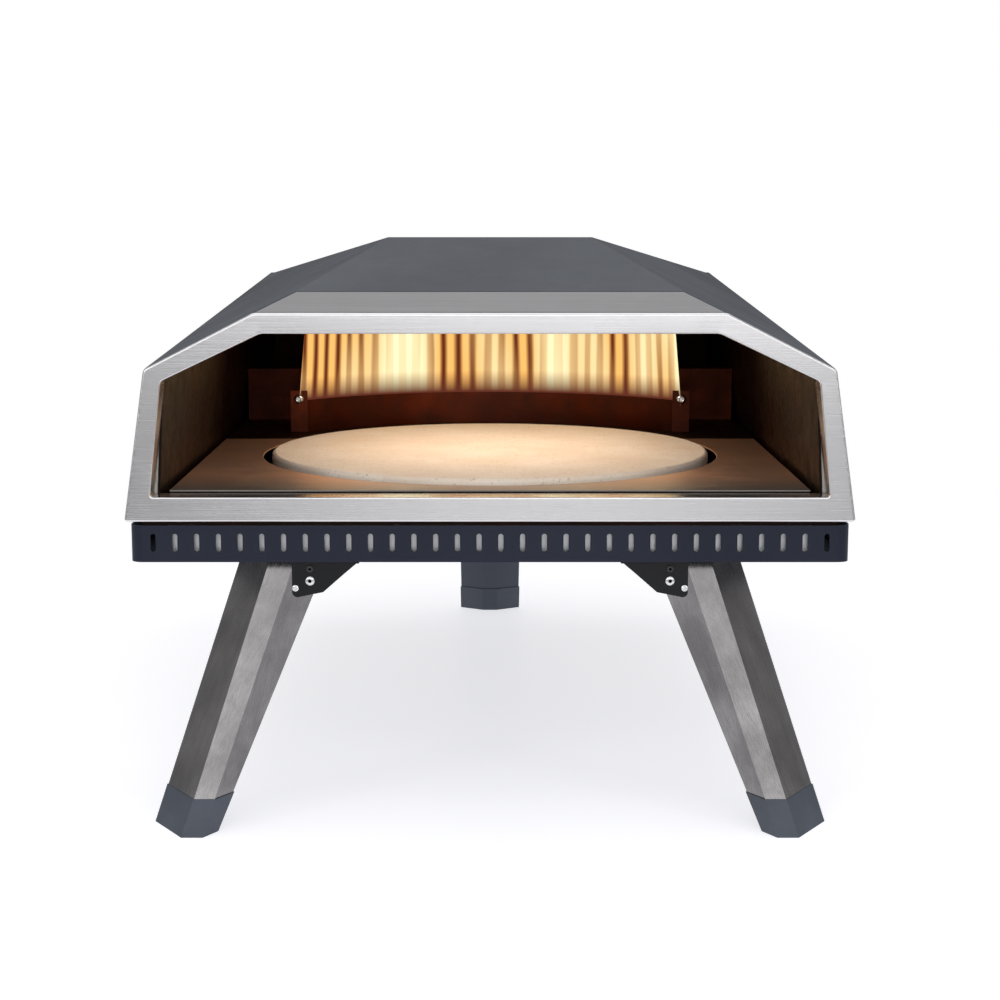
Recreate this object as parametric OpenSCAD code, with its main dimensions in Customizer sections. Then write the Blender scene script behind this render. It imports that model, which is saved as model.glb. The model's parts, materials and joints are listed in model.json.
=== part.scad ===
// Portable wood fired pizza oven: a faceted steel hood on a slotted base tray, a turning stone,
// a rear firebox with a fuel drawer and a fuel door, and three folding legs.
// X runs to the right, Y runs to the back, Z runs up, and the ground is Z = 0.

/* [Hood and mouth] */
// Depth of the oven's body, from the face of the mouth to the back wall
body_d = 650; // [620:10:680]
// Half width of the mouth frame at its foot
frame_foot_x = 239.5; // [237:0.5:240]
// Half width of the mouth frame at its shoulders
frame_shoulder_x = 224.5; // [222:0.5:226]
// Half width of the mouth frame at its top
frame_top_x = 153; // [150:0.5:155]
// Height of the mouth frame's lower edge
frame_foot_z = 198.5; // [198.5:0.5:199]
// Height of the mouth frame's shoulders
frame_shoulder_z = 298.5; // [296:0.5:300]
// Height of the mouth frame's top edge
frame_top_z = 335; // [333:0.5:336]
// Depth of the mouth frame, from front to back
frame_depth = 18; // [14:1:20]
// Height of the roof's peak
peak_z = 380.5; // [378:0.5:382]
// Distance from the face of the mouth to the roof's peak
peak_d = 150; // [140:5:170]
// Thickness of the hood's sheet
sheet = 1.2; // [1:0.1:1.5]

/* [Base tray] */
// Half width of the slotted base tray
tray_x = 237; // [236:0.5:238]
// Height of the tray's underside above the ground
tray_z = 171; // [171:0.5:172]
// Height of the tray's upper rim above the ground
tray_top_z = 195.5; // [195:0.5:195.5]
// Number of air slots in the tray's front wall
slot_count = 32; // [20:1:32]
// Distance from one air slot to the next
slot_pitch = 14.3; // [12:0.1:14.4]
// Width of one air slot
slot_w = 3.4; // [3:0.1:4]
// Height of one air slot
slot_h = 12; // [10:0.5:13]

/* [Stone] */
// Radius of the pizza stone
stone_r = 165; // [160:1:166]
// Thickness of the pizza stone
stone_t = 12; // [10:0.5:12]
// Distance from the face of the mouth to the stone's centre
stone_d = 214; // [210:1:216]
// Height of the stone's upper face
stone_z = 220; // [219.5:0.5:221]
// Radius of the turning spindle
spindle_r = 6; // [5:0.5:6]

/* [Legs] */
// Distance of a front leg's top from the oven's middle plane
leg_x = 138.5; // [136:0.5:140]
// How far a front leg's foot stands outside its top
leg_lean = 54; // [50:1:56]
// How far a leg's foot stands in front of, or behind, its top
leg_reach = 63; // [60:1:64]
// Height of a leg's upper end
leg_top_z = 169; // [167.5:0.5:169]
// Height of a foot cap's upper edge
cap_z = 23; // [18:1:26]
// Height of the leg pivots
pivot_z = 150; // [149:0.5:151]
// Radius of the leg pivot bolts
pivot_r = 4; // [3:0.5:4]

/* [Firebox] */
// Inner half width of the firebox
firebox_x = 86.5; // [84:0.5:88]
// Distance from the face of the mouth to the firebox's front edge
firebox_d = 434; // [432:1:440]
// Height of the firebox's roof
firebox_z = 314; // [312:1:315]
// Radius of the curved flame guard, about the stone's centre
guard_r = 200; // [196:1:200]
// Height of the flame guard's upper edge
guard_z = 243; // [238:1:248]
// Height of the fuel door's hinge pin
hinge_z = 315.5; // [315:0.5:316]
// Radius of the fuel door's hinge pin
hinge_r = 2; // [1.5:0.25:2]

/* [Hidden] */
$fn = 64;
eps = 0.01;
big = 1000;
fit = 0.05;
front_y = -body_d / 2;

// The hood's corners are [half width, height]. The brow rises from the frame to the forehead, which climbs
// to the peak. The shoulders run from the frame's edge to the back, and the roof falls from the peak.
face_depth = 6;
collar_top = [152.5, 335.3];
collar_ridge = [224.3, 298.6];
brow_d = 22;
brow_top = [126.5, 348];
brow_seam = 0.5;
peak_x = 73;
ridge_rear = [213, 337];
ridge_rear_d = body_d - 5;
ridge_drop = 8;
hood_foot_x = 229.5;
hood_z = frame_foot_z;
wall_t = 10;

// Base
tray_front_d = 5;
tray_rear_d = body_d - 3;
tray_corner_r = 8;
slot_z = 184;
liner_x = 212.5;
plate_t = 1.5;
plate_z = stone_z - 3.5;
plate_front_d = 22;
plate_split_d = 300;
plate_x = 213;
stone_gap = 6.5;

// Legs: the section is measured back from the front facet.
facet_top_w = 8.5;
facet_foot_w = 6.5;
side_facet = [22, 33];
inner_facet_top = [21, 32];
inner_facet_foot = [8, 12.2];
leg_depth = 46;
leg_sheet = 1.5;
leg_front_d = 16;
pivot_d = leg_front_d - (leg_top_z - pivot_z) * leg_reach / leg_top_z + side_facet[1];
tongue_w = 16;
cheek_gap = 0.3;
cheek_t = 2.5;
cheek_r = 9;
flange_t = 1.5;
flange_d = 20;
web_d = 7.9;
web_t = 1.5;

// Back of the oven
panel_d = body_d + 0.3;
panel_t = 1.5;
face_d = panel_d + panel_t + 0.5;
face_t = 2;
hinge_d = face_d + 4.2;
knuckle_r = 4;
handle_z = 221;
handle_d = 676;

function y_at(d) = front_y + d;
function leg_t(z) = (leg_top_z - z) / leg_top_z;
function leg_mid_x(z, x, lean) = -(x + lean * leg_t(z));
function leg_front_y(z) = y_at(leg_front_d - leg_reach * leg_t(z));
function facet_w(z) = facet_top_w + (facet_foot_w - facet_top_w) * leg_t(z);
function inner_facet(z, same) = same ? side_facet
    : inner_facet_top + (inner_facet_foot - inner_facet_top) * leg_t(z);
// Corners of a leg's section at height z, as seen from above, with its outside to the left
function outer_corner(z) = [-facet_w(z) - side_facet[0], side_facet[1]];
function inner_corner(z, same) = [facet_w(z) + inner_facet(z, same)[0], inner_facet(z, same)[1]];

// ---------------------------------------------------------------- shared shapes

module rounded_plate(x, d0, d1, r, h) {
    linear_extrude(h) {
        translate([-x, y_at(d0) + r]) square([2 * x, d1 - d0 - 2 * r]);
        translate([-x + r, y_at(d0)]) square([2 * (x - r), d1 - d0]);
        for (sx = [-1, 1], y = [y_at(d0) + r, y_at(d1) - r])
            translate([sx * (x - r), y]) circle(r);
    }
}

module box_between(x, d0, d1, z0, z1) {
    translate([-x, y_at(d0), z0]) cube([2 * x, d1 - d0, z1 - z0]);
}

module across(d, z, r, length) {
    translate([-length / 2, y_at(d), z]) rotate([0, 90, 0]) cylinder(h = length, r = r);
}

module backward(x, d, z, r, length) {
    translate([x, y_at(d), z]) rotate([-90, 0, 0]) cylinder(h = length, r = r);
}

// Joins rings of six points into a closed form. A ring is [d, foot, ridge, top], given for the right half.
module loft(rings) {
    last = len(rings) - 1;
    function full(r) = [for (i = [1:6]) let (p = i < 4 ? r[i] : r[7 - i], side = i < 4 ? -1 : 1)
        [side * p[0], y_at(r[0]), p[1]]];
    function wall(a, b, c, d, left) = left ? [[a, d, c], [a, c, b]] : [[a, d, b], [d, c, b]];
    polyhedron(
        points = [for (r = rings) each full(r)],
        faces = concat([[0, 1, 2, 3, 4, 5]], [[for (k = [5:-1:0]) last * 6 + k]],
            [for (i = [0:last - 1], k = [0:5]) let (n = (k + 1) % 6)
                each wall(i * 6 + k, i * 6 + n, i * 6 + 6 + n, i * 6 + 6 + k, k < 3)]));
}

// The hood's rings from the frame to the back wall, moved in by t, with its foot at z0
function foot_point(t, z0) = [hood_foot_x - t, z0];
function ridge_point(p, t) = p - [t, 0.6 * t];
function top_point(p, t) = p - [0.3 * t, t];
function ridge_at(d) = collar_ridge
    + (ridge_rear - collar_ridge) * (d - face_depth) / (ridge_rear_d - face_depth);
function hood_ring(d, t, z0, top) = [d, foot_point(t, z0), ridge_point(ridge_at(d), t), top_point(top, t)];
function collar_ring(t, z0, d) = hood_ring(d, t, z0, collar_top);
function brow_ring(t, z0, d) = hood_ring(d, t, z0, brow_top);
function rear_rings(t, z0) = [
    hood_ring(peak_d, t, z0, [peak_x, peak_z]),
    [ridge_rear_d - t, foot_point(t, z0), ridge_point(ridge_rear, t), ridge_point(ridge_rear, t) - [3, 0]],
    [body_d - t, foot_point(t, z0), ridge_point(ridge_rear - [0, ridge_drop], t),
        ridge_point(ridge_rear - [3, ridge_drop], t)]];

module firebox_opening() {
    box_between(firebox_x + 3, body_d - 30, body_d + 1, hood_z - 1, firebox_z + 3);
}

// A wall between the depths t0 and t1 under the hood's surface, from the frame to the back
module oven_wall(t0, t1, gap = 0) {
    z0 = hood_z + gap;
    difference() {
        loft(concat([collar_ring(t0, z0, frame_depth + gap), brow_ring(t0, z0, brow_d + t0)],
            rear_rings(t0, z0)));
        loft(concat([collar_ring(t1, z0 - 2, frame_depth - 1), brow_ring(t1, z0 - 2, brow_d + t1)],
            rear_rings(t1, z0 - 2)));
        firebox_opening();
    }
}

module air_slot(x, depth) {
    r = slot_w / 2;
    translate([x - r, y_at(tray_front_d) - 1, slot_z - slot_h / 2 + r])
        cube([slot_w, depth, slot_h - slot_w]);
    for (s = [-1, 1])
        backward(x, tray_front_d - 1, slot_z + s * (slot_h / 2 - r), r, depth);
}

module screw_head(r, h) {
    cylinder(h = h * 0.6, r = r);
    translate([0, 0, h * 0.6 - eps]) cylinder(h = h * 0.4, r1 = r, r2 = r * 0.62);
}

// ---------------------------------------------------------------- hood and mouth

// The mouth's corners are [half width, height]
mouth_foot = [222, 215];
mouth_shoulder = [213.5, 290.5];
mouth_top = [148.5, 321.5];

// The mouth's outline, grown by g
function mouth(g) = mirrored([mouth_foot + [g, -g], mouth_shoulder + [g, 0.6 * g],
    mouth_top + [0.4 * g, g]]);

// The right half's corners, followed by the left half's
function mirrored(half) = [for (i = [0:2 * len(half) - 1])
    i < len(half) ? half[i] : [-half[2 * len(half) - 1 - i][0], half[2 * len(half) - 1 - i][1]]];

module upright(d0, d1) {
    translate([0, y_at(d1), 0]) rotate([90, 0, 0]) linear_extrude(d1 - d0) children();
}

module front_frame() {
    color("silver") {
        upright(0, face_depth) difference() {
            polygon(mirrored([[frame_foot_x, frame_foot_z], [frame_shoulder_x, frame_shoulder_z],
                [frame_top_x, frame_top_z]]));
            polygon(mouth(0));
        }
        upright(face_depth, frame_depth) difference() {
            polygon(mouth(2));
            polygon(mouth(0));
        }
    }
}

// The part of the hood's sheet that is the brow, seen from above
module brow_plan() {
    translate([0, front_y, frame_shoulder_z]) linear_extrude(big)
        polygon(mirrored([[collar_top[0], face_depth - 1], [collar_top[0], face_depth],
            [brow_top[0], brow_d]]));
}

module hood_sheet() {
    difference() {
        loft(concat([collar_ring(0, hood_z, face_depth), brow_ring(0, hood_z, brow_d)],
            rear_rings(0, hood_z)));
        loft(concat([collar_ring(sheet, hood_z - 1, face_depth - 1), brow_ring(sheet, hood_z - 1, brow_d)],
            rear_rings(sheet, hood_z - 1)));
        firebox_opening();
    }
}

module brow_band() {
    color("darkgray") intersection() {
        hood_sheet();
        translate([0, -brow_seam, 0]) brow_plan();
    }
}

module hood_shell() {
    color("dimgray") difference() {
        hood_sheet();
        brow_plan();
    }
}

module insulation() {
    color("beige") oven_wall(sheet + 0.5, wall_t - 1.8, 1);
}

module oven_liner() {
    color("dimgray") oven_wall(wall_t - 1.3, wall_t);
}

// ---------------------------------------------------------------- base

module vent_skirt() {
    color("#2b3038") difference() {
        translate([0, 0, tray_z])
            rounded_plate(tray_x, tray_front_d, tray_rear_d, tray_corner_r, tray_top_z - tray_z);
        translate([0, 0, tray_z + sheet])
            rounded_plate(tray_x - sheet, tray_front_d + sheet, tray_rear_d - sheet,
                tray_corner_r - sheet, tray_top_z);
        for (i = [0:slot_count - 1])
            air_slot((i - (slot_count - 1) / 2) * slot_pitch, sheet + 2);
    }
}

module slot_liner() {
    color("silver") difference() {
        box_between(liner_x, 11, body_d - 12, tray_z + sheet, tray_top_z);
        box_between(liner_x - 1.2, 12.2, body_d - 13.2, 0, big);
    }
}

module chassis_plate() {
    color("#1c1e22") difference() {
        box_between(229, 7, body_d - 4, tray_top_z, hood_z);
        box_between(212, 24, body_d - 21, 0, hood_z - sheet);
        translate([0, y_at(stone_d), 0]) cylinder(h = big, r = 20.1);
        for (x = [-60:20:60], d = [480:30:600])
            translate([x, y_at(d), 0]) cylinder(h = big, r = 5);
    }
}

module floor_support() {
    color("#26221f") difference() {
        box_between(212, 23.5, body_d - 15, hood_z, plate_z - plate_t);
        box_between(210.8, 24.7, body_d - 16.2, 0, big);
        box_between(firebox_x + 2, body_d - 30, body_d, 0, big);
    }
}

module stone_hole() {
    translate([0, y_at(stone_d), 0]) cylinder(h = big, r = stone_r + stone_gap, $fn = 128);
}

module floor_plate() {
    color("lightgray") difference() {
        box_between(plate_x, plate_front_d, plate_split_d, plate_z - plate_t, plate_z);
        stone_hole();
    }
}

module rear_floor() {
    color("#3a2c24") difference() {
        box_between(plate_x, plate_split_d + 0.2, body_d - 14, plate_z - plate_t, plate_z);
        stone_hole();
        box_between(firebox_x + 2, firebox_d - 1, body_d, 0, big);
    }
}

module bearing_housing() {
    color("gray") translate([0, y_at(stone_d), 0]) difference() {
        union() {
            translate([0, 0, 180.5]) cylinder(h = hood_z - 180, r = 20);
            translate([0, 0, hood_z]) cylinder(h = 2, r = 32);
        }
        translate([0, 0, 180]) cylinder(h = 5, r = 10);
        translate([0, 0, 184]) cylinder(h = 30, r = 14);
        for (a = [45:90:315]) rotate(a) translate([26, 0, 0]) cylinder(h = big, r = 2.2);
    }
}

module bearing() {
    color("silver") translate([0, y_at(stone_d), 184]) difference() {
        cylinder(h = 8, r = 14);
        translate([0, 0, -1]) cylinder(h = 10, r = spindle_r + fit);
    }
}

// ---------------------------------------------------------------- turning stone

module pizza_stone() {
    edge = 2;
    color("wheat") translate([0, y_at(stone_d), stone_z - stone_t]) rotate_extrude($fn = 128)
        polygon([[0, 0], [stone_r - edge, 0], [stone_r, edge], [stone_r, stone_t - edge],
            [stone_r - edge, stone_t], [0, stone_t]]);
}

module stone_carrier() {
    color("gray") translate([0, y_at(stone_d), 0]) difference() {
        union() {
            translate([0, 0, stone_z - stone_t - 2]) cylinder(h = 2, r = 120);
            translate([0, 0, 201.5]) cylinder(h = 5, r = 16);
        }
        translate([0, 0, 200]) cylinder(h = 20, r = 8);
        for (a = [0:60:300]) rotate(a) translate([72, 0, 190]) cylinder(h = 40, r = 20);
    }
}

module spindle() {
    color("silver") translate([0, y_at(stone_d), 0]) {
        translate([0, 0, 177]) cylinder(h = 16, r = spindle_r);
        translate([0, 0, 192.3]) cylinder(h = stone_z - stone_t - 192.3, r = 8);
    }
}

module spindle_nut() {
    color("silver") translate([0, y_at(stone_d), 178]) difference() {
        cylinder(h = 5.5, r = 8.6, $fn = 6);
        translate([0, 0, -1]) cylinder(h = 10, r = spindle_r);
    }
}

// ---------------------------------------------------------------- fire end

module guard_arc(r, t, x, z0, z1) {
    translate([0, y_at(stone_d), z0]) intersection() {
        difference() {
            cylinder(h = z1 - z0, r = r + t, $fn = 128);
            translate([0, 0, -1]) cylinder(h = z1 - z0 + 2, r = r, $fn = 128);
        }
        translate([-x, 0, 0]) cube([2 * x, big, z1 - z0]);
    }
}

guard_half_x = 152;
baffle_z = 261;
guard_end_d = stone_d + sqrt(guard_r * guard_r - guard_half_x * guard_half_x);

module flame_guard() {
    color("#4a2a1c") {
        guard_arc(guard_r, 1.5, guard_half_x, plate_z, guard_z);
        for (s = [-1, 1])
            translate([s * (guard_half_x + 6) - 7, y_at(guard_end_d), plate_z])
                difference() {
                    cube([14, 1.5, guard_z + 8 - plate_z]);
                    translate([7, -1, guard_z + 1 - plate_z]) rotate([-90, 0, 0]) cylinder(h = 5, r = 2.1);
                }
    }
}

module guard_bolts() {
    color("gray") for (s = [-1, 1]) {
        translate([s * (guard_half_x + 6), y_at(guard_end_d), guard_z + 1])
            rotate([90, 0, 0]) screw_head(4, 3);
        backward(s * (guard_half_x + 6), guard_end_d - eps, guard_z + 1, 2, 5);
    }
}

module flame_comb() {
    comb_r = guard_r + 6;
    color("#5a3524") difference() {
        guard_arc(comb_r, 1.5, 146, plate_z, guard_z - 4);
        for (i = [-12:12])
            translate([0, y_at(stone_d), plate_z + 6]) rotate(i * 3.1)
                translate([-2, comb_r - 10, 0]) cube([4, 20, 30]);
    }
}

// Low walls that close the floor off on both sides of the firebox
module fire_baffles() {
    half_width = 211.5;
    baffle_d = firebox_d + 4;
    color("#4a2a1c") difference() {
        union() {
            box_between(half_width, baffle_d, baffle_d + 1.5, plate_z, baffle_z);
            box_between(half_width, baffle_d, baffle_d + 20, baffle_z - 1.5, baffle_z);
        }
        box_between(firebox_x + 2.5, firebox_d - 1, firebox_d + 40, 0, big);
    }
}

module firebox() {
    z0 = hood_z + 1;
    color("#4a3c34") difference() {
        box_between(firebox_x + 1.5, firebox_d, body_d, z0, firebox_z + 1.5);
        box_between(firebox_x, firebox_d - 1, body_d + 1, z0 + 1.5, firebox_z);
        for (x = [-60:20:60], d = [480:30:600])
            translate([x, y_at(d), 190]) cylinder(h = 20, r = 5);
    }
}

module rear_panel() {
    color("dimgray") difference() {
        box_between(104, panel_d, panel_d + panel_t, hood_z + 0.5, 322);
        box_between(firebox_x, panel_d - 1, panel_d + 5, hood_z + 2.5, 242);
        box_between(70, panel_d - 1, panel_d + 5, 251, 306);
        for (s = [-1, 1], z = [205, 260, 315])
            backward(s * 98, panel_d - 1, z, 2.1, 5);
    }
}

module panel_screws() {
    color("silver") for (s = [-1, 1], z = [205, 260, 315])
        translate([s * 98, y_at(panel_d + panel_t), z]) rotate([-90, 0, 0]) {
            screw_head(3.6, 2.4);
            translate([0, 0, -panel_t]) cylinder(h = panel_t + eps, r = 2);
        }
}

module drawer_tray() {
    x = firebox_x - 2;
    d0 = firebox_d + 8;
    color("#55504c") {
        difference() {
            box_between(x, d0, face_d, 202, 236);
            box_between(x - 1.2, d0 + 1.2, face_d - 1.2, 203.2, 300);
        }
        for (d = [480, 600]) box_between(x - 1.2, d, d + 1.5, 203.2, 212);
    }
}

module drawer_face() {
    color("silver") difference() {
        box_between(93, face_d, face_d + face_t, 201.5, 244.5);
        for (s = [-1, 1]) backward(s * 35, face_d - 1, handle_z, 2.5, 6);
    }
}

module drawer_handle() {
    color("#222222") {
        across(handle_d, handle_z, 5, 92);
        for (s = [-1, 1]) {
            backward(s * 35, face_d + face_t, handle_z, 3.5, handle_d - face_d - face_t);
            backward(s * 35, face_d, handle_z, 2.5, 4);
        }
    }
}

module fuel_grate() {
    x = firebox_x - 6;
    color("#3b3b3d") {
        difference() {
            box_between(x, 446, 640, 212, 216);
            box_between(x - 4, 450, 636, 200, 230);
        }
        for (i = [-6:6]) translate([i * 11.5 - 2, y_at(449), 212]) cube([4, 188, 4]);
    }
}

module hinge_leaf() {
    color("gray") difference() {
        union() {
            translate([-38, y_at(panel_d + panel_t), hinge_z - 2])
                cube([76, hinge_d - panel_d - panel_t, 7.5]);
            across(hinge_d, hinge_z, knuckle_r, 76);
        }
        across(hinge_d, hinge_z, hinge_r, 80);
        translate([-40, y_at(hinge_d + 2), hinge_z + knuckle_r]) cube([80, 10, 10]);
    }
}

module hinge_pin() {
    color("silver") across(hinge_d, hinge_z, hinge_r, 128);
}

module fuel_door() {
    color("silver") difference() {
        union() {
            box_between(78, face_d, face_d + face_t, 248, hinge_z - 5);
            for (s = [-1, 1]) {
                translate([s * 50 - 11, y_at(face_d), hinge_z - 9])
                    cube([22, hinge_d - face_d, 9]);
                translate([s * 50, 0, 0]) across(hinge_d, hinge_z, knuckle_r, 22);
            }
        }
        across(hinge_d, hinge_z, hinge_r + fit, 140);
        backward(0, face_d - 1, 262, 2.5, 6);
    }
}

module door_knob() {
    color("#222222") translate([0, y_at(face_d), 262]) rotate([-90, 0, 0]) rotate_extrude()
        polygon([[0, 0], [2.5, 0], [2.5, face_t], [6, face_t], [4.5, 8],
            [9, 13], [11, 19], [9.5, 24], [0, 26]]);
}

// ---------------------------------------------------------------- legs

// One slice of a leg at height z: points are in the section's own plan.
module leg_slice(z, x, lean, points) {
    translate([leg_mid_x(z, x, lean), leg_front_y(z), z]) linear_extrude(eps) polygon(points);
}

function shell_points(z, same, t) = t == 0
    ? [outer_corner(z), [-facet_w(z), 0], [facet_w(z), 0], inner_corner(z, same)]
    : [outer_corner(z) + [1.3 * t, 0.6], [-facet_w(z) + 0.6 * t, t], [facet_w(z) - 0.6 * t, t],
        inner_corner(z, same) + [-1.3 * t, 0.6]];
function core_points(z, same, t) = [outer_corner(z) + [1.6 * t, -0.5 * t],
    inner_corner(z, same) - [1.6 * t, 0.5 * t],
    [facet_w(z) - 0.5 * t, leg_depth - t], [-facet_w(z) + 0.5 * t, leg_depth - t]];
function cap_points(z, same, g) = [outer_corner(z) - [g, -0.3 * g], [-facet_w(z) - 0.5 * g, -g],
    [facet_w(z) + 0.5 * g, -g], inner_corner(z, same) + [g, 0.3 * g],
    [facet_w(z) + 0.5 * g, leg_depth + g], [-facet_w(z) - 0.5 * g, leg_depth + g]];

module leg_shell(x, lean, same) {
    color("lightgray") difference() {
        hull() {
            leg_slice(leg_top_z, x, lean, shell_points(leg_top_z, same, 0));
            leg_slice(6, x, lean, shell_points(6, same, 0));
        }
        hull() {
            leg_slice(leg_top_z + 2, x, lean, shell_points(leg_top_z + 2, same, leg_sheet));
            leg_slice(5, x, lean, shell_points(5, same, leg_sheet));
        }
        // room for the bracket and the tray while the leg folds
        box_between(big, pivot_d - 1, pivot_d + 60, leg_top_z - 2, big);
    }
}

module leg_core(x, lean, same) {
    tongue_x = leg_mid_x(pivot_z, x, lean);
    tongue_z = pivot_z - 40;
    color("#2e3238") difference() {
        union() {
            difference() {
                hull() {
                    leg_slice(pivot_z - 17, x, lean, core_points(pivot_z - 17, same, 0));
                    leg_slice(6, x, lean, core_points(6, same, 0));
                }
                hull() {
                    leg_slice(pivot_z - 16, x, lean, core_points(pivot_z - 16, same, 2.2));
                    leg_slice(5, x, lean, core_points(5, same, 2.2));
                }
            }
            translate([tongue_x, 0, 0]) across(pivot_d, pivot_z, 8.5, tongue_w);
            translate([tongue_x - tongue_w / 2, y_at(pivot_d) - 8.5, pivot_z - 12]) cube([tongue_w, 17, 12]);
            hull() {
                translate([tongue_x - tongue_w / 2, y_at(pivot_d) - 8.5, pivot_z - 12])
                    cube([tongue_w, 15, eps]);
                translate([leg_mid_x(tongue_z, x, lean) - 6, leg_front_y(tongue_z) + 12, tongue_z])
                    cube([12, leg_depth - 13, eps]);
            }
        }
        translate([tongue_x, 0, 0]) across(pivot_d, pivot_z, pivot_r + fit, tongue_w + 10);
    }
}

module foot_cap(x, lean, same) {
    color("#3a424c") difference() {
        hull() {
            leg_slice(cap_z, x, lean, cap_points(cap_z, same, 0.8));
            leg_slice(0, x, lean, cap_points(0, same, 0.8));
        }
        hull() {
            leg_slice(cap_z + 2, x, lean, cap_points(cap_z + 2, same, 0));
            leg_slice(6, x, lean, cap_points(6, same, 0));
        }
    }
}

// A leg's bracket: flange under the tray, two cheeks at the pivot and a web with its fasteners.
module leg_bracket(x, lean, same) {
    tongue_x = leg_mid_x(pivot_z, x, lean);
    flange_z = tray_z - flange_t;
    web_x = -x + (same ? 12 : 9);
    cheek_x = tongue_w / 2 + cheek_gap;
    color("#15161a") {
        difference() {
            union() {
                translate([tongue_x - 24, y_at(flange_d), flange_z])
                    cube([web_x + 43 - tongue_x + 24, web_d + 68 - flange_d, flange_t]);
                translate([web_x - 1.5, y_at(web_d), flange_z])
                    cube([44.5, flange_d - web_d + eps, flange_t]);
                for (s = [-1, 1]) translate([tongue_x + s * (cheek_x + cheek_t / 2), 0, 0]) {
                    across(pivot_d, pivot_z, cheek_r, cheek_t);
                    translate([-cheek_t / 2, y_at(pivot_d) - cheek_r, pivot_z])
                        cube([cheek_t, 2 * cheek_r, flange_z - pivot_z + eps]);
                }
            }
            translate([tongue_x, 0, 0]) across(pivot_d, pivot_z, pivot_r, 60);
        }
        translate([web_x, y_at(web_d + web_t), 0]) rotate([90, 0, 0]) linear_extrude(web_t)
            difference() {
                union() {
                    polygon([[-1.5, tray_z], [43, tray_z], [33, 162.5], [19, 150.2],
                        [2, 146.8], [-1.5, 151]]);
                    translate([2, 150.3]) circle(3.5);
                }
                translate([10.5, 158]) circle(2);
                translate([0.8, 153]) circle(1.2);
                translate([10.5, 166]) circle(1.5);
            }
    }
}

module bracket_bolt(x, same) {
    web_x = -x + (same ? 12 : 9);
    translate([web_x + 10.5, y_at(web_d), 158]) rotate([90, 0, 0]) screw_head(3.3, 1.8);
    backward(web_x + 10.5, web_d - eps, 158, 2, 4);
    translate([web_x + 10.5, y_at(web_d + web_t), 158]) rotate([-90, 0, 0])
        cylinder(h = 2.4, r = 3.6, $fn = 6);
}

module bracket_rivet(x, same) {
    web_x = -x + (same ? 12 : 9);
    translate([web_x + 0.8, y_at(web_d), 153]) rotate([90, 0, 0]) screw_head(2.1, 1.2);
    backward(web_x + 0.8, web_d - eps, 153, 1.2, web_t + 1);
}

module bracket_screw(x, same) {
    web_x = -x + (same ? 12 : 9);
    translate([web_x + 10.5, y_at(web_d), 166]) rotate([90, 0, 0]) screw_head(2.5, 1.4);
    backward(web_x + 10.5, web_d - eps, 166, 1.5, web_t + 2);
}

module pivot_bolt(x, lean) {
    translate([leg_mid_x(pivot_z, x, lean), 0, 0]) {
        half = tongue_w / 2 + cheek_gap + cheek_t;
        across(pivot_d, pivot_z, pivot_r, 2 * half);
        translate([half, y_at(pivot_d), pivot_z]) rotate([0, 90, 0]) screw_head(6.2, 3);
        translate([-half - 3.2, y_at(pivot_d), pivot_z]) rotate([0, 90, 0])
            cylinder(h = 3.2, r = 6.4, $fn = 6);
    }
}

// Places what is made for the left front leg: there, mirrored to the right, or turned to the back.
module at_left() { children(); }
module at_right() { mirror([1, 0, 0]) children(); }
module at_rear() { mirror([0, 1, 0]) children(); }

module leg_shell_left() { at_left() leg_shell(leg_x, leg_lean, false); }
module leg_core_left() { at_left() leg_core(leg_x, leg_lean, false); }
module foot_cap_left() { at_left() foot_cap(leg_x, leg_lean, false); }
module leg_shell_right() { at_right() leg_shell(leg_x, leg_lean, false); }
module leg_core_right() { at_right() leg_core(leg_x, leg_lean, false); }
module foot_cap_right() { at_right() foot_cap(leg_x, leg_lean, false); }
module leg_shell_rear() { at_rear() leg_shell(0, 0, true); }
module leg_core_rear() { at_rear() leg_core(0, 0, true); }
module foot_cap_rear() { at_rear() foot_cap(0, 0, true); }
module leg_bracket_left() { at_left() leg_bracket(leg_x, leg_lean, false); }
module leg_bracket_right() { at_right() leg_bracket(leg_x, leg_lean, false); }
module leg_bracket_rear() { at_rear() leg_bracket(0, 0, true); }

module pivot_bolts() {
    color("silver") {
        at_left() pivot_bolt(leg_x, leg_lean);
        at_right() pivot_bolt(leg_x, leg_lean);
        at_rear() pivot_bolt(0, 0);
    }
}

module bracket_bolts() {
    color("silver") {
        at_left() bracket_bolt(leg_x, false);
        at_right() bracket_bolt(leg_x, false);
        at_rear() bracket_bolt(0, true);
    }
}

module bracket_rivets() {
    color("silver") {
        at_left() bracket_rivet(leg_x, false);
        at_right() bracket_rivet(leg_x, false);
        at_rear() bracket_rivet(0, true);
    }
}

module bracket_screws() {
    color("#222222") {
        at_left() bracket_screw(leg_x, false);
        at_right() bracket_screw(leg_x, false);
        at_rear() bracket_screw(0, true);
    }
}

// ---------------------------------------------------------------- fasteners

module hood_screws() {
    color("silver") for (s = [-1, 1], d = [90:156:558])
        translate([s * hood_foot_x, y_at(d), hood_z + 8]) rotate([0, s * 90, 0]) screw_head(3.4, 2);
}

module pan_screws() {
    color("silver") for (s = [-1, 1], d = [20, body_d / 2, body_d - 20])
        translate([s * 223, y_at(d), tray_z]) rotate([180, 0, 0]) screw_head(3.4, 2);
}

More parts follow.
